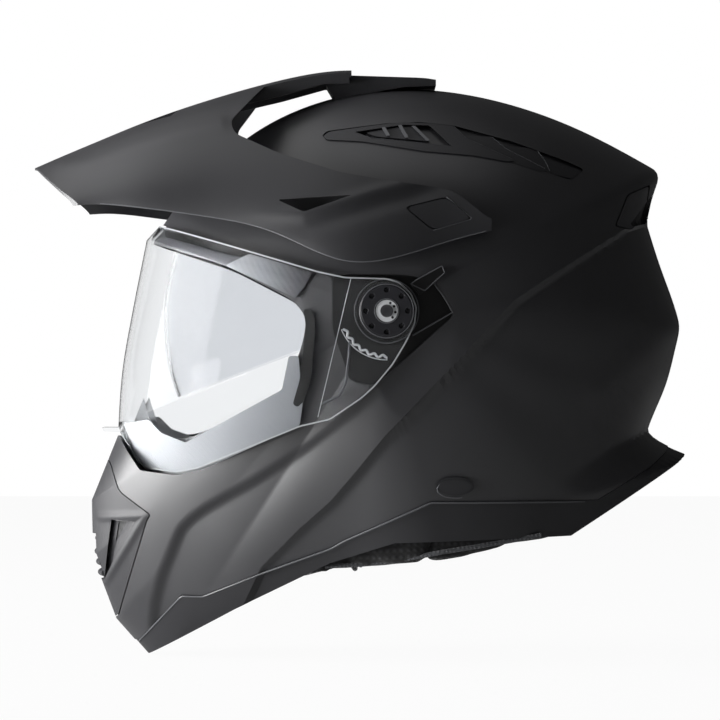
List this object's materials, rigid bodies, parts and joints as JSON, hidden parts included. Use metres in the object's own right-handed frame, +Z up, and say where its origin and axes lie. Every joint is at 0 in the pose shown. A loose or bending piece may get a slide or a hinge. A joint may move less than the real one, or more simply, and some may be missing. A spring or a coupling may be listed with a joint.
{
  "type": "dual sport helmet",
  "caption": "Full-face dual sport motorcycle helmet with peak, flip-up clear shield, drop-down sun visor, vents, foam liner, padding and strap.",
  "frame": {"origin": "centre of the head space, on the plane of symmetry, in the worn attitude", "axes": "+Z up, -Y is the wearer's front, +X is the wearer's left"},
  "size_m": [0.2654, 0.3898, 0.3489],
  "materials": {
    "shell": "soft matt lacquer over a moulded shell",
    "trim": "moulded skirt",
    "foam": "expanded polystyrene",
    "lining": "brushed knit over foam",
    "rubber": "moulded seal",
    "soft_rubber": "moulded soft deflector",
    "bezel": "matt moulding",
    "black_plastic": "moulded nylon",
    "vent_plastic": "fine grained moulding",
    "peak": "matt moulding",
    "cap": "matt moulding",
    "mount_plastic": "satin moulding",
    "clear_plastic": "clear polycarbonate",
    "tint_plastic": "lightly tinted polycarbonate",
    "screw": "zinc plated",
    "ring_steel": "plated steel",
    "webbing": "woven webbing"
  },
  "bodies": {
    "helmet": {"outer_shell": "shell", "base_trim": "trim", "impact_liner": "foam", "chin_liner": "foam", "crown_pad": "lining", "cheek_pad_left": "lining", "cheek_pad_right": "lining", "neck_roll": "lining", "eye_port_gasket": "rubber", "breath_deflector": "soft_rubber", "chin_vent_bezel": "bezel", "chin_vent_grille": "black_plastic", "top_vent_cover_left": "vent_plastic", "top_vent_cover_right": "vent_plastic", "rear_exhaust_left": "vent_plastic", "rear_exhaust_right": "vent_plastic", "side_plug_left": "vent_plastic", "side_plug_right": "vent_plastic", "pivot_plate_left": "black_plastic", "pivot_plate_right": "black_plastic", "shield_ratchet_left": "clear_plastic", "shield_ratchet_right": "clear_plastic", "pivot_screw_left": "screw", "pivot_screw_right": "screw", "peak": "peak", "peak_cap_left": "cap", "peak_cap_right": "cap", "peak_screw_left": "screw", "peak_screw_right": "screw", "crown_mount": "mount_plastic", "chin_strap_left": "webbing", "chin_strap_right": "webbing", "chin_strap_rings": "ring_steel", "strap_rivet_left": "ring_steel", "strap_rivet_right": "ring_steel"},
    "shield": {"face_shield": "clear_plastic"},
    "visor": {"sun_visor": "tint_plastic", "sun_visor_shaft_left": "screw", "sun_visor_shaft_right": "screw", "sun_visor_lever": "black_plastic"},
    "knob_left": {"pivot_knob_left": "black_plastic"},
    "knob_right": {"pivot_knob_right": "black_plastic"},
    "vent_slider_left": {"top_vent_slider_left": "vent_plastic"},
    "vent_slider_right": {"top_vent_slider_right": "vent_plastic"},
    "chin_shutter": {"chin_vent_shutter": "black_plastic"}
  },
  "joints": [
    {"name": "shield_tilt", "type": "hinge", "parent": "helmet", "child": "shield", "pos_m": [0, -0.01476, -0.01404], "axis": [-1, 0, 0], "range_deg": [0, 34]},
    {"name": "sun_visor_tilt", "type": "hinge", "parent": "helmet", "child": "visor", "pos_m": [0, -0.02088, -0.01908], "axis": [-1, 0, 0], "range_deg": [0, 34]},
    {"name": "knob_turn_left", "type": "hinge", "parent": "helmet", "child": "knob_left", "pos_m": [0.127, -0.01476, -0.01404], "axis": [1, 0, 0], "range_deg": [0, 45]},
    {"name": "knob_turn_right", "type": "hinge", "parent": "helmet", "child": "knob_right", "pos_m": [-0.127, -0.01476, -0.01404], "axis": [-1, 0, 0], "range_deg": [0, 45]},
    {"name": "top_vent_slide_left", "type": "slide", "parent": "helmet", "child": "vent_slider_left", "axis": [0.0396, 0.9983, 0.043], "range_m": [0, 0.007]},
    {"name": "top_vent_slide_right", "type": "slide", "parent": "helmet", "child": "vent_slider_right", "axis": [-0.0396, 0.9983, 0.043], "range_m": [0, 0.007]},
    {"name": "chin_vent_slide", "type": "slide", "parent": "helmet", "child": "chin_shutter", "axis": [0, 0, -1], "range_m": [0, 0.007]}
  ]
}
